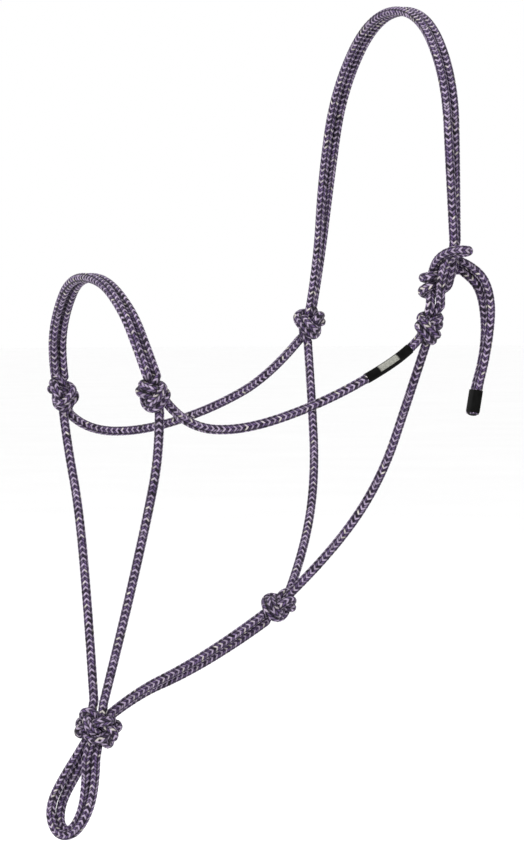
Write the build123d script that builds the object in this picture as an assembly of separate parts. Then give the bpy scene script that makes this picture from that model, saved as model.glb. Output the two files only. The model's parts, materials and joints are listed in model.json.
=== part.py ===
from build123d import *
import math
import os

# A rope halter hung up by its crown, in millimetres.
# +Z is up, the nose points to -Y, the horse's left is +X, and the origin is
# the underside of the crown at its highest point.

# Driving dimensions
ROPE_D = 6.35                         # 1/4 in braided halter rope
PAIR_PITCH = 6.7                      # centre to centre of doubled strands
CHEEK = (88.5, -24.5, -217.5)         # left cheek knot; the right one mirrors it
NOSE = (74.5, -228.0, -265.0)         # left nose knot
THROAT = (0.0, -95.5, -416.0)         # knot where the jaw lines meet
FIADOR = (0.0, -239.0, -495.5)        # knot under the chin
CHEEK_KNOT_D = 22.0
NOSE_KNOT_D = 24.0
THROAT_KNOT_D = 24.0
FIADOR_KNOT_D = 33.0
FIADOR_KNOT_H = 27.0
SLEEVE_WALL = 0.65                    # black shrink sleeves
LABEL_HALF_L = 21.0                   # blank sleeve on the left cheek line
TIP_SLEEVE_L = 18.0                   # sleeve over the two rope ends
LOOP_TURN = 62.0                      # degrees from +X, the way the lead loops lie

R = ROPE_D / 2

# Centre lines, as corner points that are then rounded off
CROWN_HALF = [(37, 0, R), (79, -2.5, -46), (90, -6, -112)]
CROWN_LEFT_END = [(95.7, -10.5, -160)]
CROWN_RIGHT_END = [(97, -11.5, -172), (91, -21.5, -203.6)]
NOSEBAND_HALF = [(27, -241.5, -186), (56, -238.5, -207), (71.5, -235, -234), (74.5, -230.5, -251.3)]
CHEEK_LINE = [
    (74.9, -219, -273.5),
    (76, -205, -291),
    (78.5, -165, -293.5),
    (82.5, -108, -275),
    (86, -58, -249.5),
    (88.2, -32.5, -225.5),
]
JAW_LINE = [(84.5, -27, -230.6), (72, -30.5, -266), (49, -38, -326), (22, -64, -376), (4.6, -88, -405.5)]
UNDER_JAW = [(0, -106.5, -424.6), (0, -127, -437), (0, -170, -457.5), (0, -207, -471), (0, -227.5, -486)]
CHIN_LINE = [(74.5, -227.5, -279), (72, -225, -303), (55, -224.2, -346), (28, -230, -419), (7.2, -237.3, -477)]
TAIL = [(101.7, -1.5, -174), (101.7, 14, -182.5), (101.7, 20.5, -210), (101.7, 12, -246), (101.7, 1.4, -278.9)]
TIE_LOOP = [
    (91, -27.5, -204),
    (95, -30, -184),
    (102, -16, -167),
    (101.5, -2.5, -163),
    (91.5, -0.5, -168.5),
    (89.5, -12, -183),
    (91.5, -16, -203),
]
# Lead loops, one outside the other: along the loops' heading, toward the left side, and up
LOOP_OUTER = [
    (2.4, 4.5, -513.5),
    (2.8, 8, -537),
    (-1, 10, -560),
    (-16, 5.5, -571.5),
    (-31.5, -3, -561),
    (-28, -7.5, -537),
    (-12, -4.5, -513.5),
]
LOOP_INNER = [
    (-5, 4.5, -513.5),
    (-4.6, 7.5, -534),
    (-8, 3.5, -554),
    (-17.5, -4, -562.5),
    (-25.5, -9.5, -552),
    (-19.6, -9, -535),
    (-3.8, -4.5, -513.5),
]


def moved(points, shift):
    """The same corner points, slid by one vector."""
    return [tuple(a + b for a, b in zip(point, shift)) for point in points]


def mirrored(points):
    """The same corner points on the horse's other side."""
    return [(-x, y, z) for x, y, z in points]


def doubled(points, direction, pitch=PAIR_PITCH):
    """Two strands side by side, half a pitch to each side of the centre line."""
    half = Vector(*direction).normalized() * (pitch / 2)
    shift = (half.X, half.Y, half.Z)
    return moved(points, tuple(-s for s in shift)), moved(points, shift)


def bend_radii(points):
    """One radius per corner: 0.45 of the shorter run beside it, over the half-turn's tangent."""
    radii = []
    for before, here, after in zip(points, points[1:], points[2:]):
        run_in = Vector(*here) - Vector(*before)
        run_out = Vector(*after) - Vector(*here)
        half_turn = math.radians(run_in.get_angle(run_out) / 2)
        radii.append(0.45 * min(run_in.length, run_out.length) / math.tan(half_turn))
    return radii


def centre_line(points, radii=None):
    """Straight runs joined by tangent arcs."""
    return FilletPolyline(*points, radius=radii or bend_radii(points))


def swept(path, radius):
    """A round bar along a path."""
    return sweep(Plane(path @ 0, z_dir=path % 0) * Circle(radius), path=path)


def rope(name, points):
    """One strand; prints its radius and length beside the volume they should give."""
    path = centre_line(points)
    strand = swept(path, R)
    expected = math.pi * R**2 * path.length
    print(f"{name}: radius {R:.3f}, length {path.length:.1f}, volume {strand.volume:.0f} of {expected:.0f}")
    return strand


def overhand_knot(centre, diameter, axis=(0, 0, 1), core_radius=7.5, core_half=10.0):
    """A doubled overhand knot drawn tight: two wraps stacked on a round core."""
    frame = Plane(centre, z_dir=axis)
    wrap_r = 4.2
    wraps = [Pos(0, 0, side * 3.7) * Torus(diameter / 2 - wrap_r, wrap_r) for side in (-1, 1)]
    core = Cylinder(core_radius, 2 * core_half)
    core = fillet(core.edges(), core_radius * 0.45)
    return frame * (core + wraps)


def fiador_knot(strands):
    """The four-strand knot under the chin: three stacked wraps, widest in the middle."""
    wrap_r = 4.8
    half_height = FIADOR_KNOT_H / 2
    knot = Cylinder(10, 2 * half_height - 2)
    knot = fillet(knot.edges(), 3.5)
    knot += Torus(FIADOR_KNOT_D / 2 - wrap_r, wrap_r)
    for side in (-1, 1):
        knot += Pos(0, 0, side * (half_height - wrap_r)) * Torus(8.6, wrap_r)
    return Pos(*FIADOR) * knot - strands


def tie_hitch(strands):
    """The crown's free end wrapped twice round the tie loop's legs."""
    core_top = Vector(96, -11, -166.5)
    core_foot = Vector(92.5, -21, -190)
    core_line = Line(core_top, core_foot)
    hitch = swept(core_line, 7.5) + Pos(*core_top) * Sphere(7.5) + Pos(*core_foot) * Sphere(7.5)
    for level in (-186.6, -195.0):
        wrap_line = Pos(92, -21.5, level) * SlotOverall(31 - ROPE_D, 19 - ROPE_D, rotation=90).wire()
        hitch += sweep(Plane(wrap_line @ 0, z_dir=wrap_line % 0) * Circle(R + 0.9), path=wrap_line)
    return hitch - strands


def label_sleeve(line_points):
    """The blank black sleeve round the left cheek line, bent with it."""
    corner = Vector(*line_points[4])
    to_front = (Vector(*line_points[3]) - corner).normalized() * LABEL_HALF_L
    to_rear = (Vector(*line_points[5]) - corner).normalized() * LABEL_HALF_L
    path = centre_line([corner + to_front, corner, corner + to_rear], [bend_radii(line_points)[3]])
    return swept(path, R + SLEEVE_WALL) - swept(path, R)


def tip_sleeve(strands, end, before_end):
    """The black sleeve shrunk over both rope ends and closed below them."""
    down = (Vector(*end) - Vector(*before_end)).normalized()
    outline = SlotOverall(PAIR_PITCH + ROPE_D + 2 * SLEEVE_WALL, ROPE_D + 2 * SLEEVE_WALL)
    top = Vector(*end) - down * (TIP_SLEEVE_L - 1.2)
    sleeve = extrude(Plane(top, x_dir=(1, 0, 0), z_dir=down) * outline, TIP_SLEEVE_L)
    foot = sleeve.faces().sort_by(Axis(top, down))[-1]
    return fillet(foot.edges(), 1.0) - strands


def crown_strands():
    right_side = mirrored(CROWN_HALF + CROWN_RIGHT_END)
    points = right_side[::-1] + CROWN_HALF + CROWN_LEFT_END
    front, rear = doubled(points, (0, 1, 0))
    return rope("crown_strand_front", front), rope("crown_strand_rear", rear)


def noseband_strands():
    points = mirrored(NOSEBAND_HALF)[::-1] + NOSEBAND_HALF
    front, rear = doubled(points, (0, 1, 0))
    return rope("noseband_strand_front", front), rope("noseband_strand_rear", rear)


def under_jaw_strands():
    lower, upper = doubled(UNDER_JAW, (0, -0.45, 0.89))
    return rope("under_jaw_strand_lower", lower), rope("under_jaw_strand_upper", upper)


def lead_loop(name, corners):
    """One loop of rope that starts and ends in the fiador knot."""
    turn = math.radians(LOOP_TURN)
    points = []
    for along, left, up in corners:
        x = along * math.cos(turn) + left * math.sin(turn)
        y = along * math.sin(turn) - left * math.cos(turn)
        points.append((x, FIADOR[1] + y, up))
    return rope(name, points)


def tail_strands():
    inner, outer = doubled(TAIL, (1, 0, 0))
    return rope("tail_strand_inner", inner), rope("tail_strand_outer", outer)


def build():
    parts = {}
    parts["crown_strand_front"], parts["crown_strand_rear"] = crown_strands()
    parts["tie_loop"] = rope("tie_loop", TIE_LOOP)
    parts["tie_hitch"] = tie_hitch([parts["crown_strand_front"], parts["crown_strand_rear"], parts["tie_loop"]])
    parts["noseband_strand_front"], parts["noseband_strand_rear"] = noseband_strands()

    for side, flip in (("left", False), ("right", True)):
        lines = {"cheek_line": CHEEK_LINE, "jaw_line": JAW_LINE, "chin_line": CHIN_LINE}
        for name, points in lines.items():
            parts[f"{name}_{side}"] = rope(f"{name}_{side}", mirrored(points) if flip else points)
        cheek, nose = (mirrored([CHEEK, NOSE]) if flip else [CHEEK, NOSE])
        cheek_line = parts[f"cheek_line_{side}"]
        parts[f"cheek_knot_{side}"] = overhand_knot(cheek, CHEEK_KNOT_D, core_half=9.0) - cheek_line
        parts[f"nose_knot_{side}"] = overhand_knot(nose, NOSE_KNOT_D, core_half=9.5) - cheek_line
    parts["label_sleeve"] = label_sleeve(CHEEK_LINE)

    jaw_lines = [parts["jaw_line_left"], parts["jaw_line_right"]]
    parts["throat_knot"] = overhand_knot(THROAT, THROAT_KNOT_D, axis=(0, -0.6, -0.8)) - jaw_lines
    parts["under_jaw_strand_lower"], parts["under_jaw_strand_upper"] = under_jaw_strands()
    parts["fiador_knot"] = fiador_knot([parts["under_jaw_strand_lower"], parts["under_jaw_strand_upper"]])
    parts["lead_loop_outer"] = lead_loop("lead_loop_outer", LOOP_OUTER)
    parts["lead_loop_inner"] = lead_loop("lead_loop_inner", LOOP_INNER)
    parts["tail_strand_inner"], parts["tail_strand_outer"] = tail_strands()
    tail = [parts["tail_strand_inner"], parts["tail_strand_outer"]]
    parts["tail_tip_sleeve"] = tip_sleeve(tail, TAIL[-1], TAIL[-2])
    return parts


os.makedirs("parts", exist_ok=True)
for part_name, shape in build().items():
    solids = shape.solids()
    if len(solids) != 1:
        raise ValueError(f"{part_name} came out as {len(solids)} solids")
    solid = solids[0]
    solid.label = part_name
    export_step(solid, f"parts/{part_name}.step")
    print(f"{part_name}: {solid.volume:.0f} mm3")
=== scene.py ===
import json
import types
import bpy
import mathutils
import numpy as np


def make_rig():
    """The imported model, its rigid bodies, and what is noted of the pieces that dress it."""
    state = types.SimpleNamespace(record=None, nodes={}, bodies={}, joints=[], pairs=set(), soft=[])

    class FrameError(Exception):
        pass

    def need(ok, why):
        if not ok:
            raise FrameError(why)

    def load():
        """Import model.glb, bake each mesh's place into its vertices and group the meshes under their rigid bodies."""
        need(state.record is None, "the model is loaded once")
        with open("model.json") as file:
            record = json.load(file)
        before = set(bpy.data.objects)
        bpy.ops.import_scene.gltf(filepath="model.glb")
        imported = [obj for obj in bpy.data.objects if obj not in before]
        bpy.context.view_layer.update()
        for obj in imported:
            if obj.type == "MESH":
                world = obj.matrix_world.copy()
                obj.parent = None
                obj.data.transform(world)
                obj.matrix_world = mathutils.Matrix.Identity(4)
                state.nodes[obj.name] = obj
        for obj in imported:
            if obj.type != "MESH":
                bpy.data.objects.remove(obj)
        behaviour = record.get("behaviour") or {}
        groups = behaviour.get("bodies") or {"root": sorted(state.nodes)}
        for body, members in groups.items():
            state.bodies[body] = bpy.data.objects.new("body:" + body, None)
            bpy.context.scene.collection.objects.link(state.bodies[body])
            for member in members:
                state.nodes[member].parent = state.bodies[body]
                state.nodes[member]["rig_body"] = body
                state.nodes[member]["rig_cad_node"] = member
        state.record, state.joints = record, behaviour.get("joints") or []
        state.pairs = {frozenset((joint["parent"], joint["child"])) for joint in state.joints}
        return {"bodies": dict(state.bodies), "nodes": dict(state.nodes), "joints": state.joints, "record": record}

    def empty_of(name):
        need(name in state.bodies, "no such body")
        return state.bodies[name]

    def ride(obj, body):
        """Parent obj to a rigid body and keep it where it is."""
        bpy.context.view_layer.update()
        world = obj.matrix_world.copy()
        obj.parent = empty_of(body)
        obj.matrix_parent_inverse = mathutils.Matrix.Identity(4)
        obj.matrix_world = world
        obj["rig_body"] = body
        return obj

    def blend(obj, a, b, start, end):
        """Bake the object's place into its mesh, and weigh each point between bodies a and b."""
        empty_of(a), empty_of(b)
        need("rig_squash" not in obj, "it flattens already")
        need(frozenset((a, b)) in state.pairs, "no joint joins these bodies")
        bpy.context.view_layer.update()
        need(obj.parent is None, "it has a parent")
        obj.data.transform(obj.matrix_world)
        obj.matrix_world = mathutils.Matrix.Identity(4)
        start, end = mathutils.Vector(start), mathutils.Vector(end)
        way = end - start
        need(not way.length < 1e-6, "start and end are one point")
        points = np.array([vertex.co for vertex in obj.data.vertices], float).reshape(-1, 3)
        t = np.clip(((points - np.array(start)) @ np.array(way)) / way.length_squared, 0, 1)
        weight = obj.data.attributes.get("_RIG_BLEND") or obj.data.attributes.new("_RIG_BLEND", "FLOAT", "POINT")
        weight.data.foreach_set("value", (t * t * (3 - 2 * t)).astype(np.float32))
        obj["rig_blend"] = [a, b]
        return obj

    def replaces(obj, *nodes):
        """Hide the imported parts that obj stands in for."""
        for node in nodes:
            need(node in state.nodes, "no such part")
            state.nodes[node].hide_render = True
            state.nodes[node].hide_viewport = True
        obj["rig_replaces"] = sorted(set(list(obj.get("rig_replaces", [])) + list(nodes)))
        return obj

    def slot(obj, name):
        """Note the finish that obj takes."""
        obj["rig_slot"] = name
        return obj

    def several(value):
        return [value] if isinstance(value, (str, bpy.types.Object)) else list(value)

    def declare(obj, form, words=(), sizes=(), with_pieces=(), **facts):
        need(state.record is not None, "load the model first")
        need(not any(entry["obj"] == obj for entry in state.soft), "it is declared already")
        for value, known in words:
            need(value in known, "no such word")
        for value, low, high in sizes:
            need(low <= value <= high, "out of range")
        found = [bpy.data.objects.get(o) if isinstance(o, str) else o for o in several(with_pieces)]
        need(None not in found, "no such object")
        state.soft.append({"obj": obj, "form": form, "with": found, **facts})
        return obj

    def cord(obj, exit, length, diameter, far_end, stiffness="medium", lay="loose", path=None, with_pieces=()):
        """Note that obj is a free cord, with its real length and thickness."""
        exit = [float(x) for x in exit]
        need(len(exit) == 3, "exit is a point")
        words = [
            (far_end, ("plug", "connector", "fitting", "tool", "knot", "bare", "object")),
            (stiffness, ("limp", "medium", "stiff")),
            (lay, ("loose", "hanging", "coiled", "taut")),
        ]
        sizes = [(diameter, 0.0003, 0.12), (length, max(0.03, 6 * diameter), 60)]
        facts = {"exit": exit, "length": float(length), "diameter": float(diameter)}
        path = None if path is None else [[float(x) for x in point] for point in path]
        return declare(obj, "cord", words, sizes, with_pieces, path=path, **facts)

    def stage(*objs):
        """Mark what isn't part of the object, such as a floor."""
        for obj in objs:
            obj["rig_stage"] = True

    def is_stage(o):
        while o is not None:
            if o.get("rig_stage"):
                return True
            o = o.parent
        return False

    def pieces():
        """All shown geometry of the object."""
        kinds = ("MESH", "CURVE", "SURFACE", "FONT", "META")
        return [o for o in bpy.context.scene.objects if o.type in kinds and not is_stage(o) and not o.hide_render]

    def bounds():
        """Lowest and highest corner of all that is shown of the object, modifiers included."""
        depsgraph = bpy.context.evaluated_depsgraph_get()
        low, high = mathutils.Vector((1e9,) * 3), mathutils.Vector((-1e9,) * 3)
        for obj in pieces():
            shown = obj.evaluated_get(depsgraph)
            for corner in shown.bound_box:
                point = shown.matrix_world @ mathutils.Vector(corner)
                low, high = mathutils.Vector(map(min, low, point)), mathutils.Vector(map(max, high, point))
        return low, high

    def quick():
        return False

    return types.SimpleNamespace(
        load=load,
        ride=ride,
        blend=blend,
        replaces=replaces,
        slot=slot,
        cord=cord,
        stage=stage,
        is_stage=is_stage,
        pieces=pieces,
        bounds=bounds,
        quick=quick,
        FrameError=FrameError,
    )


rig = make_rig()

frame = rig.load()
CAD_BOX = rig.bounds()

import json
import math
import bpy
import numpy as np
from mathutils import Vector

# A rope halter hung by its crown: braided rope, its tied knots, and two black sleeves.
# Routes are in millimetres, as in the CAD source, and become metres when they are drawn.
# +Z is up, the nose points to -Y, and the horse's left is +X.

MM = 0.001
ROPE_D = 6.35
ROPE_R = ROPE_D / 2
PAIR_PITCH = 6.7
CHEEK = (88.5, -24.5, -217.5)
NOSE = (74.5, -228.0, -265.0)
THROAT = (0.0, -95.5, -416.0)
FIADOR = (0.0, -239.0, -495.5)
LOOP_TURN = 62.0
SLEEVE_WALL = 0.45
LABEL_ENDS = (-74.0, -40.5)            # the label sleeve's two ends along the frame's y
TIP_SLEEVE_L = 18.0

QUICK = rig.quick()
RING_STEP = 0.7 if QUICK else 0.36     # along the rope, between rings of the mesh
RING_SIDES = 24 if QUICK else 48       # a multiple of the braid's eight half columns
HALF_COLUMNS = 8                       # half columns of floats round the rope
FLOAT_PITCH = 2.1                      # one float to the next along the rope
FLOAT_SLANT = 1.0                      # rise of a float across its half column, in pitches
FLOAT_DEPTH = 0.42                     # relief of the braid

CROWN = [
    (-89.7, -20.3, -206), (-96.3, -10.2, -172), (-90.5, -7.5, -112), (-79.3, -3.2, -46),
    (-33, 0, ROPE_R + 2.7), (34, 0, ROPE_R + 1.5), (78.6, -3.7, -46), (89.4, -7.6, -112),
]
CROWN_LEFT_END = [(16.5, -1.5, -159)]
# Ways in which the strands of a pair lie beside each other
OPENED = (-0.7, 0.7, 0)                # nearly one behind the other, as seen from the front left
SLANTED = (-0.4, 0.9, 0)
LEVEL = (0, 1, 0)
CROWN_PAIR = [OPENED, OPENED, LEVEL, LEVEL, LEVEL, LEVEL, LEVEL, SLANTED, OPENED]
NOSEBAND = [
    (-75, -230, -254), (-71.5, -234.5, -234), (-55.5, -237.5, -207), (-25, -241, -184.5),
    (23.5, -242.5, -186), (55.2, -239.6, -207.8), (70.6, -236.6, -232.3), (74.6, -231.3, -251),
]
NOSEBAND_PAIR = [LEVEL] * 4 + [SLANTED] + [LEVEL] * 3
CHEEK_LINE_LEFT = [
    (75.7, -221, -268.5), (76.3, -206.5, -285.5), (78.5, -165, -288.5), (82.5, -108, -271),
    (86, -60, -247.5), (88, -38, -232), (88.2, -32.5, -225.5),
]
CHEEK_LINE_RIGHT = [
    (-75.2, -222.5, -280), (-76.5, -209, -292.5), (-78.5, -163, -293.8), (-82.5, -106, -278.6),
    (-86, -57, -255.5), (-88.2, -31, -229),
]
JAW_LINE_LEFT = [
    (84.5, -26, -230.6), (71.5, -31.5, -266), (48, -40.5, -326), (22, -64, -376), (4.6, -88, -405.5),
]
JAW_LINE_RIGHT = [
    (-84.5, -26, -230.6), (-72, -30, -266), (-49.5, -38.8, -326), (-20.5, -63, -376),
    (-3.2, -85.5, -405.5),
]
UNDER_JAW = [(0, -107, -423.2), (0, -127.4, -435.8), (0, -169.8, -457.4), (0, -207, -471), (0, -228, -485.3)]
UNDER_JAW_PAIR = [
    (0.35, -0.43, 0.83), (0.43, -0.42, 0.8), (0.62, -0.37, 0.69), (0.83, -0.25, 0.5), (0.86, -0.3, 0.42),
]
CHIN_LINE_LEFT = [
    (75.3, -226, -275), (72.5, -224.8, -303), (54.7, -225, -346), (28, -230, -419), (8.4, -235.8, -475),
]
CHIN_LINE_RIGHT = [
    (-74.5, -227.5, -279), (-72, -225.5, -303), (-55, -224.5, -346), (-28, -230, -419),
    (-7, -235.8, -475),
]
TAIL_INNER = [
    (21, -10, -179.5), (27, -9.5, -184), (33.5, -9.5, -191.5), (37.2, -9.5, -205), (38.3, -9, -224),
    (36, -8, -243), (30.5, -6, -262), (27.7, -4.8, -278.9),
]
TAIL_OUTER = [
    (21, -7, -173.9), (29, -5.8, -177.6), (38, -4.8, -187.2), (41.8, -4.2, -203.5), (40.2, -2.8, -224),
    (36.9, -1.6, -243), (32, 0.2, -262), (29.8, 1, -278.9),
]
TIE_LOOP = [
    (-0.5, 1.5, -204.5), (0, -3, -196), (0.4, -3.5, -187), (1.6, -1, -179), (4.5, 6, -172.3),
    (10, 12, -168), (17, 14.5, -166.2), (25.5, 12.5, -166.5), (24.5, 8, -167.6), (18, 7.8, -168),
    (12, 8.4, -170.5), (8.6, 8, -178), (6.4, 7, -187), (6.3, 3.5, -197), (6.6, -1, -204),
]
LOOP_OUTER = [
    (1.3, 4.5, -513.5), (0.9, 7, -530), (-3.5, 9, -550), (-13, 7, -565), (-25, 1, -567),
    (-31.3, -4, -553), (-26.5, -6.5, -535.5), (-12.5, -4.5, -513.5),
]
LOOP_INNER = [
    (-5.1, 4.5, -513.5), (-5.2, 7, -532), (-8.3, 5, -551), (-16.5, 1, -565), (-24, -4, -560.5),
    (-23.4, -8, -547), (-16.5, -9, -532), (-5.5, -4.5, -513.5),
]


# ---------------------------------------------------------------- routes

def beside(points, directions, side):
    """One strand of a pair: the route moved half a pitch to one side, with one direction per point."""
    directions = np.array(directions, float)
    shifts = directions / np.linalg.norm(directions, axis=1)[:, None] * side * PAIR_PITCH / 2
    return [tuple(np.array(p) + shift) for p, shift in zip(points, shifts)]


def turned(points, centre=CHEEK):
    """Points given as (along a level heading, out to the front left, height) from a centre, in the frame."""
    turn = math.radians(LOOP_TURN)
    c, s = math.cos(turn), math.sin(turn)
    return [(centre[0] + a * c + b * s, centre[1] + a * s - b * c, z) for a, b, z in points]


CROWN += turned(CROWN_LEFT_END)
ROUTES = {
    "crown_strand_front": beside(CROWN, CROWN_PAIR, -1),
    "crown_strand_rear": beside(CROWN, CROWN_PAIR, 1),
    "noseband_strand_front": beside(NOSEBAND, NOSEBAND_PAIR, -1),
    "noseband_strand_rear": beside(NOSEBAND, NOSEBAND_PAIR, 1),
    "cheek_line_left": CHEEK_LINE_LEFT,
    "cheek_line_right": CHEEK_LINE_RIGHT,
    "jaw_line_left": JAW_LINE_LEFT,
    "jaw_line_right": JAW_LINE_RIGHT,
    "under_jaw_strand_lower": beside(UNDER_JAW, UNDER_JAW_PAIR, -1),
    "under_jaw_strand_upper": beside(UNDER_JAW, UNDER_JAW_PAIR, 1),
    "chin_line_left": CHIN_LINE_LEFT,
    "chin_line_right": CHIN_LINE_RIGHT,
    "tie_loop": turned(TIE_LOOP),
    "lead_loop_outer": turned(LOOP_OUTER, FIADOR),
    "lead_loop_inner": turned(LOOP_INNER, FIADOR),
    "tail_strand_inner": turned(TAIL_INNER),
    "tail_strand_outer": turned(TAIL_OUTER),
}

# The halter is one rope. This is its way through the halter, end to end: a free length with
# its direction (-1 where the rope runs against the route), then the knot it enters.
ROPE_WAY = [
    ("tail_strand_inner", -1, "tie_hitch"),
    ("crown_strand_front", -1, "cheek_knot_right"),
    ("cheek_line_right", -1, "nose_knot_right"),
    ("noseband_strand_front", 1, "nose_knot_left"),
    ("cheek_line_left", 1, "cheek_knot_left"),
    ("tie_loop", 1, "cheek_knot_left"),
    ("jaw_line_left", 1, "throat_knot"),
    ("under_jaw_strand_upper", 1, "fiador_knot"),
    ("lead_loop_outer", 1, "fiador_knot"),
    ("chin_line_right", -1, "nose_knot_right"),
    ("noseband_strand_rear", 1, "nose_knot_left"),
    ("chin_line_left", 1, "fiador_knot"),
    ("lead_loop_inner", 1, "fiador_knot"),
    ("under_jaw_strand_lower", -1, "throat_knot"),
    ("jaw_line_right", -1, "cheek_knot_right"),
    ("crown_strand_rear", 1, "tie_hitch"),
    ("tail_strand_outer", 1, None),
]

# The braid's V shapes point to the start of each route, in these to its end, and in the crown downward.
POINTS_TO_END = {"cheek_line_left", "jaw_line_left", "tail_strand_inner", "tail_strand_outer"}

# The body that carries each piece which doesn't bend between two
FIXED_BODY = {
    "cheek_knot_left": "face",
    "cheek_knot_right": "face",
    "nose_knot_left": "face",
    "nose_knot_right": "face",
    "throat_knot": "jaw",
    "fiador_knot": "under_jaw",
    "tie_hitch": "crown",
    "cheek_line_left": "face",
    "cheek_line_right": "face",
}


def nurbs_line(points):
    """Points along the smooth NURBS line that has these control points, read from Blender's own curve."""
    data = bpy.data.curves.new("route", "CURVE")
    data.dimensions = "3D"
    spline = data.splines.new("NURBS")
    spline.points.add(len(points) - 1)
    for point, place in zip(spline.points, points):
        point.co = (*place, 1)
    spline.order_u = 3
    spline.use_endpoint_u = True
    spline.resolution_u = 24
    holder = bpy.data.objects.new("route", data)
    mesh = bpy.data.meshes.new_from_object(holder)
    line = np.array([v.co for v in mesh.vertices], float)
    bpy.data.objects.remove(holder)
    bpy.data.curves.remove(data)
    bpy.data.meshes.remove(mesh)
    return line


def evenly(points, count):
    """The same line, through count evenly spaced points."""
    steps = np.linalg.norm(np.diff(points, axis=0), axis=1)
    along = np.concatenate([[0.0], np.cumsum(steps)])
    wanted = np.linspace(0, along[-1], count)
    return np.stack([np.interp(wanted, along, points[:, k]) for k in range(3)], 1)


def length_of(line):
    return float(np.linalg.norm(np.diff(line, axis=0), axis=1).sum())


def unit(vector):
    return np.array(vector, float) / np.linalg.norm(vector)


# ---------------------------------------------------------------- tied knots

CONTACT = 0.95 * ROPE_D                # drawn tight, the rope flattens a little where it touches
FREE_REACH = 30.0                      # how far out the ends are held while a knot tightens
POINT_STEP = 1.25                      # along a knot's strands, between simulated points


def smooth_line(points, step):
    """Points about a step apart on a smooth line near these loosely placed ones."""
    padded = np.concatenate([points[:1], points, points[-1:]])
    line = []
    for k in range(len(padded) - 3):
        for t in np.linspace(0, 1, 12, endpoint=False):
            second = 3 * t ** 3 - 6 * t ** 2 + 4
            third = -3 * t ** 3 + 3 * t ** 2 + 3 * t + 1
            weights = np.array([(1 - t) ** 3, second, third, t ** 3])
            line.append(weights / 6 @ padded[k:k + 4])
    line = np.array(line + [points[-1]])
    return evenly(line, round(length_of(line) / step) + 1)


def drawn_tight(strands, held, steps, contact=CONTACT, pull=0.5, reach=1):
    """Pulls loosely tied strands tight and returns them.

    Each point moves toward the middle of its neighbours, which shortens the rope, and parts of the rope
    nearer than the contact distance push each other away. held is how many points at both ends of each
    strand stay where they are, or None where the whole strand does. A longer reach to the neighbours
    tightens faster.
    """
    first = np.concatenate([[0], np.cumsum([len(s) for s in strands])])
    spans = [slice(low, high) for low, high in zip(first, first[1:])]
    which = np.repeat(np.arange(len(strands)), np.diff(first))
    line = np.concatenate(strands).astype(float)
    give = np.ones(len(line))
    for span, ends in zip(spans, held):
        if ends is None:
            give[span] = 0
        else:
            give[span.start:span.start + ends] = 0
            give[span.stop - ends:span.stop] = 0
    free = np.nonzero(give)[0]
    one, two = np.triu_indices(len(line), 1)
    same, hops = which[one] == which[two], two - one
    for step in range(steps):
        late = step > 0.85 * steps
        hop = 1 if late else reach
        rate = 0.35 * pull if late else pull
        line[free] += rate * ((line[free - hop] + line[free + hop]) / 2 - line[free])
        if step % 5 == 0:
            gap = np.array([length_of(line[span]) / (span.stop - span.start - 1) for span in spans])
            apart = line[two] - line[one]
            near = (apart * apart).sum(1) < (1.5 * contact) ** 2
            near &= ~(same & (hops * gap[which[one]] < 2 * contact))
            a, b = one[near], two[near]
        for _ in range(3):
            apart = line[b] - line[a]
            distance = np.sqrt((apart * apart).sum(1))
            touch = distance < contact
            if not touch.any():
                break
            i, j = a[touch], b[touch]
            share = np.maximum(give[i] + give[j], 1e-9)
            size = 0.6 * (contact - distance[touch]) / np.maximum(distance[touch], 1e-6) / share
            push = size[:, None] * apart[touch]
            hits = np.bincount(i, minlength=len(line)) + np.bincount(j, minlength=len(line))
            for k in range(3):
                forward = np.bincount(j, push[:, k] * give[j], len(line))
                backward = np.bincount(i, push[:, k] * give[i], len(line))
                line[:, k] += (forward - backward) / np.sqrt(np.maximum(1, hits))
        if step % 4 == 0:
            for span, ends in zip(spans, held):
                if ends is not None:
                    inner = slice(span.start + ends - 1, span.stop - ends + 1)
                    line[inner] = evenly(line[inner], inner.stop - inner.start)
    return [line[span].copy() for span in spans]


def tied(passes, loose, steps, contact=CONTACT, squeeze=1.0):
    """Strands of a knot: tied loosely with the ends far out, drawn tight, and joined to the free lengths.

    passes holds each strand's two ends as (place, direction away from the knot); loose its loose line.
    """
    far = []
    for ((a, out_a), (b, out_b)), line in zip(passes, loose):
        tail_a = [a + out_a * (FREE_REACH + 9), a + out_a * FREE_REACH]
        tail_b = [b + out_b * FREE_REACH, b + out_b * (FREE_REACH + 9)]
        far.append(smooth_line(np.concatenate([tail_a, line, tail_b]), 1.5 * POINT_STEP))
    drawn = [line * squeeze for line in drawn_tight(far, [3] * len(far), steps, contact, reach=3)]
    near = []
    for ((a, out_a), (b, out_b)), line in zip(passes, drawn):
        half = len(line) // 2
        low = int(np.argmin(np.linalg.norm(line[:half] - a, axis=1))) + 2
        high = half + int(np.argmin(np.linalg.norm(line[half:] - b, axis=1))) - 2
        middle = evenly(line[low:high], round(length_of(line[low:high]) / POINT_STEP))
        near.append(np.concatenate([[a + out_a * POINT_STEP, a], middle, [b, b + out_b * POINT_STEP]]))
    joined = drawn_tight(near, [2] * len(near), 160, contact * squeeze)
    return [eased(line)[1:-1] for line in joined]


def eased(line, passes=3):
    """The same line with its small kinks averaged out; the end points stay."""
    line = line.copy()
    for _ in range(passes):
        line[2:-2] += 0.5 * ((line[1:-3] + line[3:-1]) / 2 - line[2:-2])
    return line


def turned_about_z(points, degrees):
    c, s = math.cos(math.radians(degrees)), math.sin(math.radians(degrees))
    return points @ np.array([(c, s, 0), (-s, c, 0), (0, 0, 1)])


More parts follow.
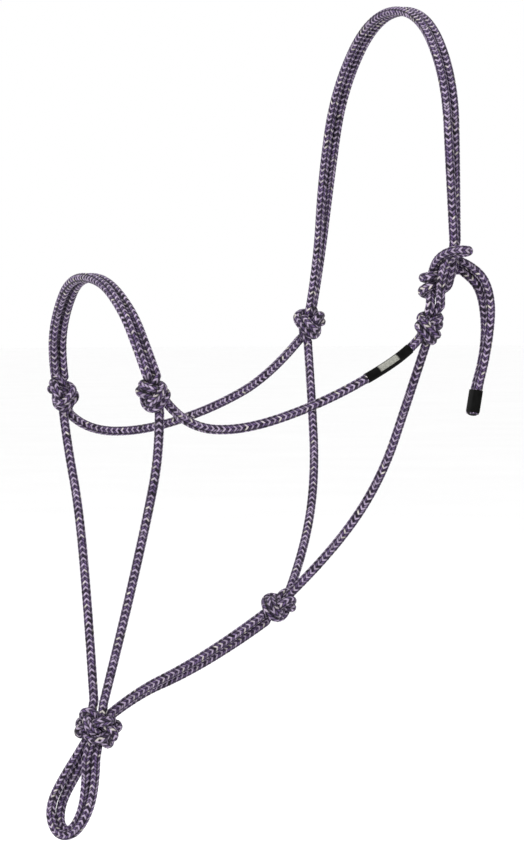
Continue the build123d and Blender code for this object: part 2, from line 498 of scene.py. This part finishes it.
def loose_overhand(side, hand, spin):
    """One of the two strands that follow an overhand knot together, wide open, from its top to its bottom."""
    t = np.linspace(-math.pi, math.pi, 60)
    flat = 9.0 * np.stack([np.sin(t) + 2 * np.sin(2 * t), np.cos(t) - 2 * np.cos(2 * t)], 1)
    heading = np.gradient(flat, axis=0)
    heading /= np.linalg.norm(heading, axis=1)[:, None]
    flat += side * ROPE_R * 1.07 * np.stack([-heading[:, 1], heading[:, 0]], 1)
    line = np.stack([-9.0 * np.sin(3 * t), hand * flat[:, 1], -flat[:, 0]], 1)
    if line[:8, 2].mean() < line[-8:, 2].mean():
        line = line[::-1]
    return turned_about_z(line, spin)


def overhand_knot(passes, centre, spin=180, hand=1, steps=1500, contact=0.84 * ROPE_D, squeeze=0.88):
    """Two strands tied together in one overhand knot; the ends that leave upward are its top."""
    centre = np.array(centre)
    moved = [[(a - centre, out) for a, out in ends] for ends in passes]
    upright = [ends[0][0][2] > ends[1][0][2] for ends in moved]
    ordered = [ends if up else ends[::-1] for ends, up in zip(moved, upright)]
    across = turned_about_z(np.array([[0.0, 1.0, 0.0]]), spin)[0]
    sides = (-1, 1) if ordered[0][0][0] @ across < ordered[1][0][0] @ across else (1, -1)
    loose = [loose_overhand(side, hand, spin) for side in sides]
    strands = tied(ordered, loose, steps, contact, squeeze)
    return [(line if up else line[::-1]) + centre for line, up in zip(strands, upright)]


def loose_diamond(turn):
    """One strand of a four-strand diamond knot, wide open: down the outside, up, and out down the middle.

    Each point is the distance from the axis, the angle round it and the height. The strand goes over and
    under the others in turn where it crosses them, so its distance from the axis goes up and down.
    """
    inner, wall, outer = 16.5, 21.0, 25.5
    places = [
        (9, -8, 34), (10, -4, 27), (13, 8, 21),
        (wall, 24, 16), (inner, 34, 13.5), (wall, 57, 8), (outer, 79, 2.5), (wall, 101, -3),
        (inner, 124, -8.6), (wall, 154, -16), (wall, 169, -20), (wall, 184, -16), (outer, 214, -8.6),
        (wall, 237, -3), (inner, 259, 2.5), (wall, 281, 8), (outer, 304, 13.5), (wall, 314, 16),
        (13, 328, 13), (9, 348, 13), (6, 374, 12), (5.5, 384, 0), (6, 394, -16), (8, 394, -36),
    ]
    angle = [math.radians(a + turn) for _, a, _ in places]
    return np.array([(r * math.cos(t), r * math.sin(t), z) for (r, _, z), t in zip(places, angle)])


def diamond_knot(passes, centre, steps=900, squeeze=0.86):
    """The four-strand knot under the chin."""
    centre = np.array(centre)
    moved = [[(a - centre, out) for a, out in ends] for ends in passes]
    upright = [ends[0][0][2] > ends[1][0][2] for ends in moved]
    ordered = [ends if up else ends[::-1] for ends, up in zip(moved, upright)]
    # each strand takes the next quarter turn, in the order in which they stand round the knot
    angles = []
    for (top, _), (foot, _) in ordered:
        angles.append(math.atan2(top[1] + 0.3 * foot[1], top[0] + foot[0]))
    rank = np.argsort(np.argsort([(math.degrees(a) + 70) % 360 for a in angles]))
    loose = [loose_diamond(-62 + 90 * k) for k in rank]
    strands = tied(ordered, loose, steps, squeeze=squeeze)
    return [(line if up else line[::-1]) + centre for line, up in zip(strands, upright)]


# The wraps of the crown's two strands round the tie loop, as turned() takes them.
HITCH_FRONT = [
    (16.4, 2, -168), (15.3, 1.5, -178), (13.3, 0, -188), (10, -4.5, -195), (4, -8, -197.5),
    (-3, -6.5, -197), (-7, 0, -195.5), (-3, 5.2, -194), (2.5, 1.8, -190.5), (6.5, -2.5, -186),
    (8.5, -6.5, -180.5), (11, -12, -178.5), (16, -13, -178),
]
HITCH_REAR = [
    (16.4, -4.4, -168), (15.3, -4.8, -176), (13, -7, -182), (9, -9.5, -186.5), (3, -10, -187.5),
    (-4, -6.5, -187), (-7, 0, -186), (-3, 5.2, -184.5), (2.5, 2, -181.5), (7, -2.5, -177.5),
    (9.5, -8, -173.5), (13, -12.5, -171.5), (17, -12, -172),
]


def tie_hitch(passes, tie_loop, steps=260):
    """The crown's two strands wrapped round the tie loop and tucked through it."""
    strands = []
    for ends, route in zip(passes, (HITCH_FRONT, HITCH_REAR)):
        from_crown = ends if ends[0][0][2] > ends[1][0][2] else ends[::-1]
        (a, out_a), (b, out_b) = from_crown
        inner = np.array(turned(route))
        line = np.concatenate([[a + out_a * POINT_STEP, a], inner, [b, b + out_b * POINT_STEP]])
        smooth = smooth_line(line, POINT_STEP)
        smooth = np.concatenate([line[:2], smooth[2:-2], line[-2:]])
        strands.append(smooth)
    drawn = drawn_tight(strands + [tie_loop], [2, 2, None], steps, pull=0.3)[:2]
    made = []
    for ends, line in zip(passes, drawn):
        line = eased(line)[1:-1]
        made.append(line if ends[0][0][2] > ends[1][0][2] else line[::-1])
    return made


def tied_knots(lines):
    """Each knot's strands, in the order in which the rope goes through it."""
    passes = {}
    for (name, way, knot), (after, after_way, _) in zip(ROPE_WAY, ROPE_WAY[1:]):
        into, out = lines[name][::way], lines[after][::after_way]
        ends = [(into[-1], unit(into[-2] - into[-1])), (out[0], unit(out[1] - out[0]))]
        passes.setdefault(knot, []).append(ends)
    left_x = np.array([-1, 1, 1])
    return {
        "nose_knot_left": overhand_knot(passes["nose_knot_left"], np.array(NOSE) + (1, 1.5, 3.5)),
        "nose_knot_right": overhand_knot(passes["nose_knot_right"], NOSE * left_x),
        "cheek_knot_left": overhand_knot(passes["cheek_knot_left"], CHEEK, hand=-1),
        "cheek_knot_right": overhand_knot(passes["cheek_knot_right"], CHEEK * left_x, hand=-1),
        "throat_knot": overhand_knot(passes["throat_knot"], THROAT, spin=90, hand=-1),
        "fiador_knot": diamond_knot(passes["fiador_knot"], np.array(FIADOR) + (-1.5, -2.5, 0)),
        "tie_hitch": tie_hitch(passes["tie_hitch"], evenly(lines["tie_loop"], 90)),
    }


# ---------------------------------------------------------------- the rope's surface

def carried_frames(line):
    """Two directions across the rope at each point, carried along it without twist."""
    tangent = np.gradient(line, axis=0)
    tangent /= np.linalg.norm(tangent, axis=1)[:, None]
    across = np.zeros_like(line)
    start = np.cross(tangent[0], (0.3, 0.9, 0.1))
    across[0] = start / np.linalg.norm(start)
    for k in range(1, len(line)):
        step = across[k - 1] - tangent[k] * (across[k - 1] @ tangent[k])
        across[k] = step / np.linalg.norm(step)
    return across, np.cross(tangent, across)


def braid_relief(around, along):
    """Height of the braid: slanting floats meet as V shapes and dip at the edges of their half columns."""
    column = around - np.floor(around)
    even = np.floor(around) % 2 == 0
    rise = np.where(even, column, 1 - column)
    phase = along + FLOAT_SLANT * rise
    across_float = 2 * (phase - np.floor(phase)) - 1
    crown = np.sqrt(np.clip(1 - 0.92 * across_float ** 2, 0, 1))
    ends = 1 - 0.55 * np.abs(2 * column - 1) ** 3
    return FLOAT_DEPTH * (crown * ends - 0.72)


def clearance(centre, across, up, place):
    """At each corner of each ring, 0 where another part of the rope presses on it, and 1 where nothing does; the
    braid's material paints shade into the creases from it.
    """
    sparse = slice(None, None, round(2 / RING_STEP))
    others, other_place = centre[sparse], place[sparse]
    angle = (2 * math.pi * np.arange(RING_SIDES) / RING_SIDES)[:, None]
    clear_of_crease_shade = np.ones((len(centre), RING_SIDES))
    for low in range(0, len(centre), 800):
        part = slice(low, low + 800)
        apart = np.linalg.norm(centre[part, None] - others, axis=2)
        apart[np.abs(place[part, None] - other_place) < 1.8 * ROPE_D] = np.inf
        nearest = others[np.argpartition(apart, 24, axis=1)[:, :24]]
        out = np.cos(angle) * across[part, None] + np.sin(angle) * up[part, None]
        corners = centre[part, None] + ROPE_R * out
        gap = np.linalg.norm(corners[:, :, None] - nearest[:, None], axis=3).min(2)
        clear_of_crease_shade[part] = np.clip((gap / ROPE_R - 0.95) / 0.7, 0, 1)
    return clear_of_crease_shade


def tube_faces(rings, sides):
    """Four-sided faces between rings of points, as rows of four indices."""
    i, j = np.meshgrid(np.arange(rings - 1), np.arange(sides), indexing="ij")
    k = (j + 1) % sides
    corners = [i * sides + j, i * sides + k, (i + 1) * sides + k, (i + 1) * sides + j]
    return np.stack(corners, -1).reshape(-1, 4)


def rope_mesh(name, strands):
    """One mesh of one or more strands, each (centres, across, up, braid coordinates, clearance)."""
    vertices, faces, weave = [], [], []
    base = 0
    around = np.arange(RING_SIDES) / RING_SIDES
    for centres, across, up, along, _ in strands:
        rings = len(centres)
        columns = HALF_COLUMNS * around[None, :] + 0 * along[:, None]
        pitches = along[:, None] / FLOAT_PITCH + 0 * columns
        angle = 2 * math.pi * around[None, :]
        radius = ROPE_R + braid_relief(columns, pitches)
        out = np.cos(angle)[..., None] * across[:, None] + np.sin(angle)[..., None] * up[:, None]
        ring_points = centres[:, None] + radius[..., None] * out
        vertices.append(ring_points.reshape(-1, 3))
        i, j = np.meshgrid(np.arange(rings - 1), np.arange(RING_SIDES), indexing="ij")
        faces.append(tube_faces(rings, RING_SIDES) + base)
        u_low = HALF_COLUMNS * j / RING_SIDES
        u_high = HALF_COLUMNS * (j + 1) / RING_SIDES
        v_low, v_high = along[i] / FLOAT_PITCH, along[i + 1] / FLOAT_PITCH
        loops = np.stack([u_low, v_low, u_high, v_low, u_high, v_high, u_low, v_high], -1)
        weave.append(loops.reshape(-1, 2))
        base += rings * RING_SIDES
    made = quad_object(name, np.concatenate(vertices) * MM, np.concatenate(faces), np.concatenate(weave))
    # kept on the mesh for the braid's painted shade in the creases
    clear_of_crease_shade = np.concatenate([strand[4].ravel() for strand in strands])
    made.data.attributes.new("clear_of_crease_shade", "FLOAT", "POINT").data.foreach_set("value", clear_of_crease_shade.astype(np.float32))
    return made


def quad_object(name, vertices, faces, weave):
    """An object of four-sided faces, with one UV pair per face corner."""
    mesh = bpy.data.meshes.new(name)
    mesh.vertices.add(len(vertices))
    mesh.vertices.foreach_set("co", vertices.astype(np.float32).ravel())
    mesh.loops.add(faces.size)
    mesh.loops.foreach_set("vertex_index", faces.astype(np.int32).ravel())
    mesh.polygons.add(len(faces))
    mesh.polygons.foreach_set("loop_start", np.arange(0, faces.size, 4, dtype=np.int32))
    mesh.update(calc_edges=True)
    layer = mesh.uv_layers.new(name="weave")
    layer.data.foreach_set("uv", weave.astype(np.float32).ravel())
    mesh.polygons.foreach_set("use_smooth", np.ones(len(faces), bool))
    mesh.validate()
    made = bpy.data.objects.new(name, mesh)
    bpy.context.scene.collection.objects.link(made)
    return made


# ---------------------------------------------------------------- materials

class Nodes:
    """Short calls for building a node material."""

    def __init__(self, name):
        self.material = bpy.data.materials.new(name)
        self.material.use_nodes = True
        self.tree = self.material.node_tree
        self.shader = self.tree.nodes["Principled BSDF"]

    def add(self, kind, inputs=(), output=0, **settings):
        node = self.tree.nodes.new(kind)
        for key, value in settings.items():
            setattr(node, key, value)
        for key, value in dict(inputs).items():
            self.feed(node.inputs[key], value)
        return node.outputs[output]

    def feed(self, socket, value):
        if isinstance(value, bpy.types.NodeSocket):
            self.tree.links.new(value, socket)
        else:
            socket.default_value = value

    def math(self, operation, *values, clamp=False):
        return self.add("ShaderNodeMath", enumerate(values), operation=operation, use_clamp=clamp)

    def product(self, first, *others):
        for other in others:
            first = self.math("MULTIPLY", first, other)
        return first

    def mix(self, factor, first, second):
        inputs = {"Factor": factor, 6: first, 7: second}
        return self.add("ShaderNodeMix", inputs, output=2, data_type="RGBA")

    def ramp(self, factor, stops, interpolation="LINEAR"):
        node = self.tree.nodes.new("ShaderNodeValToRGB")
        node.color_ramp.interpolation = interpolation
        while len(node.color_ramp.elements) < len(stops):
            node.color_ramp.elements.new(0.5)
        for element, (place, colour) in zip(node.color_ramp.elements, stops):
            element.position = place
            element.color = (*colour, 1)
        self.feed(node.inputs[0], factor)
        return node.outputs[0]

    def shade(self, **inputs):
        for key, value in inputs.items():
            self.feed(self.shader.inputs[key.replace("_", " ")], value)
        return self.material


LAVENDER = (0.335, 0.270, 0.385)
PALE = (0.50, 0.46, 0.44)
PURPLE = (0.108, 0.068, 0.166)
INK = (0.014, 0.009, 0.019)


def braid_material():
    """Light and dark floats in turn that meet as V shapes, each a little lighter or darker at random, with fibres, and
    with painted shade in the gaps between floats, along the columns' edges and in the creases.
    """
    n = Nodes("braided_rope")
    weave = n.add("ShaderNodeUVMap", uv_map="weave")
    parts = n.tree.nodes.new("ShaderNodeSeparateXYZ")
    n.feed(parts.inputs[0], weave)
    around, along = parts.outputs[0], parts.outputs[1]
    half_column = n.math("FLOOR", around)
    rise = n.math("PINGPONG", around, 1.0)
    phase = n.math("ADD", along, n.math("MULTIPLY", rise, FLOAT_SLANT))
    float_number = n.math("FLOOR", phase)
    float_place = n.math("FRACT", phase)
    seed = n.add("ShaderNodeCombineXYZ", {0: float_number, 1: half_column})
    chance = n.add("ShaderNodeTexWhiteNoise", {"Vector": seed}, noise_dimensions="2D")
    second_seed = n.add("ShaderNodeCombineXYZ", {0: half_column, 1: float_number, 2: 7.0})
    other = n.add("ShaderNodeTexWhiteNoise", {"Vector": second_seed}, noise_dimensions="3D")
    odd = n.math("MODULO", n.math("ABSOLUTE", float_number), 2.0)
    light = n.ramp(chance, [(0.0, PURPLE), (0.12, LAVENDER), (0.86, LAVENDER), (0.96, PALE)])
    dark = n.ramp(chance, [(0.0, INK), (0.45, PURPLE), (0.9, PURPLE), (1.0, LAVENDER)])
    yarn = n.mix(odd, light, dark)
    shade = n.add("ShaderNodeMapRange", {0: other, 3: 0.74, 4: 1.2})
    # fibre lines run along each float
    across_fibres = n.math("MULTIPLY", phase, 9.0)
    fibre_place = n.add("ShaderNodeCombineXYZ", {0: n.math("MULTIPLY", around, 1.2), 1: across_fibres})
    fibre_noise = {"Vector": fibre_place, "Scale": 1.6, "Detail": 3.0, "Roughness": 0.6}
    fibre = n.add("ShaderNodeTexNoise", fibre_noise)
    fibre_shade = n.add("ShaderNodeMapRange", {0: fibre, 1: 0.3, 2: 0.7, 3: 0.8, 4: 1.15})
    # painted shade darkens the gaps between floats, the columns' edges and the creases where the rope presses on
    # itself; it is also dark where a dark float meets its twin
    from_middle = n.math("ABSOLUTE", n.math("SUBTRACT", n.math("MULTIPLY", float_place, 2.0), 1.0))
    gap = n.add("ShaderNodeMapRange", {0: from_middle, 1: 0.4, 2: 0.95, 3: 1.0, 4: 0.10})
    painted_edge_shade = n.add("ShaderNodeMapRange", {0: rise, 1: 0.05, 2: 0.4, 3: 0.12, 4: 1.0})
    meeting = n.add("ShaderNodeMapRange", {0: rise, 1: 0.6, 2: 0.95, 3: 1.0, 4: 0.16})
    meeting = n.math("ADD", n.math("MULTIPLY", meeting, odd), n.math("SUBTRACT", 1.0, odd))
    wide = n.add("ShaderNodeTexCoord", output=3)
    patches = n.add("ShaderNodeTexNoise", {"Vector": wide, "Scale": 60.0, "Detail": 2.0})
    wear = n.add("ShaderNodeMapRange", {0: patches, 1: 0.3, 2: 0.7, 3: 0.86, 4: 1.12})
    # painted shade in the creases: darker where another part of the rope presses close
    clear_of_crease_shade = n.add("ShaderNodeAttribute", output=2, attribute_name="clear_of_crease_shade")
    painted_crease_shade = n.add("ShaderNodeMapRange", {0: clear_of_crease_shade, 3: 0.18, 4: 1.0})
    total = n.product(shade, fibre_shade, gap, painted_edge_shade, meeting, wear, painted_crease_shade)
    grey = n.add("ShaderNodeCombineColor", {0: total, 1: total, 2: total})
    shaded = {"Factor": 1.0, 6: yarn, 7: grey}
    colour = n.add("ShaderNodeMix", shaded, output=2, data_type="RGBA", blend_type="MULTIPLY")
    bump = n.add("ShaderNodeBump", {"Strength": 0.35, "Distance": 0.00012, "Height": fibre})
    n.shade(Sheen_Weight=0.06, Sheen_Roughness=0.5, Specular_IOR_Level=0.12)
    return n.shade(Base_Color=colour, Roughness=0.62, Normal=bump)


def sleeve_material():
    """Satin black shrink tube with faint scuffs, and a worn pale panel within the UVs' unit square."""
    n = Nodes("black_sleeve")
    place = n.add("ShaderNodeTexCoord", output=3)
    scuff = n.add("ShaderNodeTexNoise", {"Vector": place, "Scale": 900.0, "Detail": 4.0})
    broad = n.add("ShaderNodeTexNoise", {"Vector": place, "Scale": 160.0, "Detail": 2.0})
    black = n.ramp(broad, [(0.3, (0.002, 0.002, 0.002)), (0.75, (0.006, 0.006, 0.006))])
    fine = n.add("ShaderNodeTexNoise", {"Vector": place, "Scale": 2600.0, "Detail": 3.0})
    pale = n.ramp(fine, [(0.36, (0.10, 0.10, 0.09)), (0.6, (0.36, 0.36, 0.32))])
    panel = n.add("ShaderNodeUVMap", uv_map="weave")
    parts = n.tree.nodes.new("ShaderNodeSeparateXYZ")
    n.feed(parts.inputs[0], panel)
    depths = []
    for coordinate in parts.outputs[:2]:
        from_middle = n.math("ABSOLUTE", n.math("SUBTRACT", coordinate, 0.5))
        depths.append(n.math("SUBTRACT", 0.5, from_middle))
    inside = n.math("MULTIPLY", n.math("MINIMUM", *depths), 14.0, clamp=True)
    colour = n.mix(inside, black, pale)
    rough = n.add("ShaderNodeMapRange", {0: scuff, 3: 0.34, 4: 0.58})
    bump = n.add("ShaderNodeBump", {"Strength": 0.25, "Distance": 0.0001, "Height": scuff})
    return n.shade(Base_Color=colour, Roughness=rough, Normal=bump, Specular_IOR_Level=0.03)


def floor_material():
    n = Nodes("pale_floor")
    place = n.add("ShaderNodeTexCoord", output=3)
    soft = n.add("ShaderNodeTexNoise", {"Vector": place, "Scale": 3.0, "Detail": 2.0})
    colour = n.ramp(soft, [(0.3, (0.97, 0.97, 0.97)), (0.7, (0.99, 0.99, 0.99))])
    return n.shade(Base_Color=colour, Roughness=0.9)


# ---------------------------------------------------------------- building

BRAID = braid_material()
SLEEVE = sleeve_material()


def finished(obj, material, slot):
    obj.data.materials.append(material)
    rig.slot(obj, slot)
    return obj


def braid_way(name, way, centre):
    """+1 or -1 at each point of a free length: which way along the rope its V shapes point."""
    if name.startswith("crown"):
        top = int(np.argmax(centre[:, 2]))
        return np.where(np.arange(len(centre)) < top, 1, -1)
    return np.full(len(centre), -way if name in POINTS_TO_END else way)


def facing_turn(centre, across, up):
    """How far round the rope, in turns, the first column of V shapes goes so that it faces the front left."""
    front = turned([(0, 1, 0)], (0, 0, 0))[0]
    middle = len(centre) // 2
    angle = math.atan2(np.dot(up[middle], front), np.dot(across[middle], front))
    return angle / (2 * math.pi) - 1 / HALF_COLUMNS


def whole_rope():
    """Each node's strands, each (centres, across, up, braid coordinates, clearance)."""
    lines = {name: nurbs_line(route) for name, route in ROUTES.items()}
    knots = tied_knots(lines)
    pieces = []
    for name, way, knot in ROPE_WAY:
        pieces.append((name, way, lines[name][::way]))
        if knot:
            pieces.append((knot, 0, knots[knot].pop(0)))
    laid, marks = [], [0]
    for name, way, line in pieces:
        count = max(2, round(length_of(line) / RING_STEP)) + 1
        points = evenly(line, count)
        laid.append(points if not laid else points[1:])
        marks.append(marks[-1] + (count if len(laid) == 1 else count - 1))
    centre = np.concatenate(laid)
    across, up = carried_frames(centre)
    sign, turn = np.full(len(centre), np.nan), np.full(len(centre), np.nan)
    last_turn = 0.0
    for (name, way, _), low, high in zip(pieces, marks, marks[1:]):
        if way:
            part = slice(low, high)
            sign[part] = braid_way(name, way, centre[part])
            wanted = facing_turn(centre[part], across[part], up[part])
            last_turn = wanted + round((last_turn - wanted) * HALF_COLUMNS / 2) * 2 / HALF_COLUMNS
            turn[part] = last_turn
    # inside a knot, the way of the nearer free length is taken, looked up at every twentieth ring
    known = np.nonzero(~np.isnan(sign))[0]
    every = np.arange(len(centre))
    nearest = known[np.argmin(np.abs(known - every[::20, None]), axis=1)]
    sign = sign[nearest].repeat(20)[:len(centre)]
    turn = 2 * math.pi * np.interp(every, known, turn[known])[:, None]
    across, up = np.cos(turn) * across + np.sin(turn) * up, np.cos(turn) * up - np.sin(turn) * across
    steps = np.linalg.norm(np.diff(centre, axis=0), axis=1)
    along = np.concatenate([[0.0], np.cumsum(steps * sign[1:])])
    clear_of_crease_shade = clearance(centre, across, up, np.concatenate([[0.0], np.cumsum(steps)]))
    made = {}
    for (name, _, _), low, high in zip(pieces, marks, marks[1:]):
        part = slice(max(0, low - 1), high)
        made.setdefault(name, []).append((centre[part], across[part], up[part], along[part], clear_of_crease_shade[part]))
    return made


ROPE = whole_rope()
BRAIDS = {}
for node, strands in ROPE.items():
    piece = rope_mesh("braid_" + node, strands)
    BRAIDS[node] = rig.replaces(finished(piece, BRAID, "rope"), node)


def lowered(z):
    return (0, 0, z * MM)


# The lengths that bend from one body to another, and where each bend starts and ends.
BENDS = {
    "crown_strand_front": ("crown", "face", lowered(-185), lowered(-207)),
    "crown_strand_rear": ("crown", "face", lowered(-185), lowered(-207)),
    "tie_loop": ("crown", "face", lowered(-185), lowered(-207)),
    "noseband_strand_front": ("noseband", "face", lowered(-235), lowered(-251.5)),
    "noseband_strand_rear": ("noseband", "face", lowered(-235), lowered(-251.5)),
    "jaw_line_left": ("face", "jaw", lowered(-228.5), lowered(-252)),
    "jaw_line_right": ("face", "jaw", lowered(-228.5), lowered(-252)),
    "chin_line_left": ("face", "chin", lowered(-277), lowered(-300)),
    "chin_line_right": ("face", "chin", lowered(-277), lowered(-300)),
    "under_jaw_strand_lower": ("jaw", "under_jaw", (0, -0.1065, -0.4246), (0, -0.127, -0.437)),
    "under_jaw_strand_upper": ("jaw", "under_jaw", (0, -0.1065, -0.4246), (0, -0.127, -0.437)),
    "lead_loop_outer": ("under_jaw", "lead_loops", lowered(-511), lowered(-532)),
    "lead_loop_inner": ("under_jaw", "lead_loops", lowered(-511), lowered(-532)),
    "tail_strand_inner": ("crown", "tail", (0.1017, -0.0015, -0.174), (0.1017, 0.0125, -0.1817)),
    "tail_strand_outer": ("crown", "tail", (0.1017, -0.0015, -0.174), (0.1017, 0.0125, -0.1817)),
}
for node, (first_body, second_body, start, end) in BENDS.items():
    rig.blend(BRAIDS[node], first_body, second_body, start=start, end=end)
for node, body in FIXED_BODY.items():
    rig.ride(BRAIDS[node], body)


def skin(name, rings, patch):
    """A closed mesh through rings of the same number of points, with the pale panel's place as its UVs."""
    rings = np.array(rings)
    count, sides = rings.shape[:2]
    i, j = np.meshgrid(np.arange(count - 1), np.arange(sides), indexing="ij")
    weave = np.array([patch(a, b) for a, b in zip(i.ravel(), j.ravel())]).reshape(-1, 8)
    return quad_object(name, rings.reshape(-1, 3) * MM, tube_faces(count, sides), weave)


PANEL_START = 0.27                     # the pale panel, as parts of the sleeve's length and girth
PANEL_LENGTH = 0.44
PANEL_WIDTH = 0.24


def label_sleeve():
    """The blank sleeve on the left cheek line, with its plain panel on the outside."""
    centre, across, up, _, _ = ROPE["cheek_line_left"][0]
    far_end, near_end = LABEL_ENDS
    part = (centre[:, 1] > far_end) & (centre[:, 1] < near_end)
    centre, across, up = centre[part], across[part], up[part]
    count, sides = len(centre), 64
    place = np.linspace(0, length_of(centre), count)
    lip = np.minimum(place, place[-1] - place)
    radius = ROPE_R + 0.12 + (SLEEVE_WALL - 0.12) * np.sqrt(1 - (1 - np.minimum(1, lip / 0.7)) ** 2)
    radius[[0, -1]] = ROPE_R - 0.6
    front = np.array(turned([(0, 1, 0)], (0, 0, 0))[0]) + (0, 0, 0.55)
    start = np.arctan2(up @ front, across @ front)
    angle = start[:, None] + 2 * math.pi * (np.arange(sides)[None, :] / sides - 0.5)
    out = np.cos(angle)[..., None] * across[:, None] + np.sin(angle)[..., None] * up[:, None]
    rings = centre[:, None] + radius[:, None, None] * out

    def patch(i, j):
        low, high = (place[i:i + 2] / place[-1] - PANEL_START) / PANEL_LENGTH
        left, right = ((j + k) / sides / PANEL_WIDTH - 0.5 / PANEL_WIDTH + 0.5 for k in (0, 1))
        return left, low, right, low, right, high, left, high

    return skin("sleeve_label", rings, patch)


def tip_sleeve():
    """The sleeve shrunk over both rope ends, with its rounded closed foot."""
    inner = evenly(ROPE["tail_strand_inner"][0][0][::-1], 200)
    outer = evenly(ROPE["tail_strand_outer"][0][0], 200)
    down = unit((inner[-1] - inner[-20]) + (outer[-1] - outer[-20]))
    end = (inner[-1] + outer[-1]) / 2
    wide = outer[-1] - inner[-1]
    wide -= down * (wide @ down)
    half_gap = np.linalg.norm(wide) / 2
    wide = wide / (2 * half_gap)
    deep = np.cross(down, wide)
    radius = ROPE_R + SLEEVE_WALL
    foot = 3.6
    rim = [(0.0, ROPE_R - 0.6), (0.0, radius - 0.3), (0.15, radius - 0.08), (0.4, radius)]
    heights = np.concatenate([
        [height for height, _ in rim],
        np.linspace(0.8, TIP_SLEEVE_L - foot, 24),
        TIP_SLEEVE_L - foot + foot * np.sin(np.linspace(0.08, 1, 14) * math.pi / 2),
    ])
    rings = []
    for k, height in enumerate(heights):
        past = max(0.0, height - (TIP_SLEEVE_L - foot)) / foot
        shrink = math.sqrt(max(0.0, 1 - past ** 2))
        r = rim[k][1] if k < len(rim) else 0.2 + (radius - 0.2) * shrink
        gap = half_gap * (0.25 + 0.75 * shrink)
        middle = end - down * (TIP_SLEEVE_L - 1.2 - height)
        angle = 2 * math.pi * np.arange(64) / 64
        side = np.tanh(4 * np.cos(angle))
        circle = np.cos(angle)[:, None] * wide + np.sin(angle)[:, None] * deep
        rings.append(middle + gap * side[:, None] * wide + r * circle)
    rings.append(np.repeat([end + down * 1.2], 64, axis=0))
    return skin("sleeve_tip", rings, lambda i, j: (-1,) * 8)


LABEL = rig.replaces(finished(label_sleeve(), SLEEVE, "shrink_sleeve"), "label_sleeve")
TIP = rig.replaces(finished(tip_sleeve(), SLEEVE, "shrink_sleeve"), "tail_tip_sleeve")
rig.ride(LABEL, "face")
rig.ride(TIP, "tail")
ON_ROPE = {"cheek_line_left": [LABEL], "tail_strand_inner": [TIP], "tail_strand_outer": [TIP]}

for name, way, knot in ROPE_WAY:
    centres = ROPE[name][0][0][::way] * MM
    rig.cord(
        BRAIDS[name],
        exit=centres[0],
        length=length_of(centres),
        diameter=ROPE_D * MM,
        far_end="fitting" if name.startswith("tail") else "object",
        stiffness="medium",
        lay="hanging",
        path=centres,
        with_pieces=ON_ROPE.get(name, []),
    )


# ---------------------------------------------------------------- floor, light and camera

def stage_floor():
    half = 30.0
    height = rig.bounds()[0][2] - 0.05
    unit_square = np.array([(0, 0), (1, 0), (1, 1), (0, 1)])
    corners = np.array([(half * (2 * u - 1), half * (2 * v - 1), height) for u, v in unit_square])
    floor = quad_object("floor", corners, np.array([[0, 1, 2, 3]]), unit_square)
    floor.data.materials.append(floor_material())
    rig.stage(floor)


def aimed(obj, place, target):
    """Puts a light or camera at place, looking at target."""
    obj.location = place
    obj.rotation_euler = (Vector(target) - Vector(place)).to_track_quat("-Z", "Y").to_euler()
    bpy.context.scene.collection.objects.link(obj)
    return obj


def spherical(target, azimuth, elevation, distance):
    a, e = math.radians(azimuth), math.radians(elevation)
    way = np.array([math.cos(e) * math.sin(a), -math.cos(e) * math.cos(a), math.sin(e)])
    return tuple(np.array(target) + distance * way)


CAMERA_TARGET = (0.0, -0.109, -0.287)
CAMERA_AZIMUTH = 62.0
CAMERA_ELEVATION = 2.0
CAMERA_DISTANCE = 2.3
VIEW_HEIGHT = 0.5936                   # what the picture's height spans at the target


def studio():
    lens = bpy.data.cameras.new("camera")
    lens.sensor_fit = "VERTICAL"
    lens.sensor_height = 36.0
    lens.lens = 36.0 * CAMERA_DISTANCE / VIEW_HEIGHT
    camera = bpy.data.objects.new("camera", lens)
    place = spherical(CAMERA_TARGET, CAMERA_AZIMUTH, CAMERA_ELEVATION, CAMERA_DISTANCE)
    bpy.context.scene.camera = aimed(camera, place, CAMERA_TARGET)
    for name, azimuth, elevation, distance, size, power in (
        ("key", 25, 45, 2.2, 1.2, 30),
        ("fill", 100, 15, 2.4, 1.8, 6),
    ):
        lamp = bpy.data.lights.new(name, "AREA")
        lamp.size = size
        lamp.energy = power
        place = spherical(CAMERA_TARGET, azimuth, elevation, distance)
        aimed(bpy.data.objects.new(name, lamp), place, CAMERA_TARGET)
    world = bpy.data.worlds.new("studio")
    world.use_nodes = True
    world.node_tree.nodes["Background"].inputs["Color"].default_value = (1, 1, 1, 1)
    world.node_tree.nodes["Background"].inputs["Strength"].default_value = 1.0
    bpy.context.scene.world = world
    bpy.context.scene.view_settings.view_transform = "Standard"


stage_floor()
studio()

with open("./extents.json", "w") as file:
    json.dump({"cad": [list(c) for c in CAD_BOX], "visual": [list(c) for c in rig.bounds()]}, file)
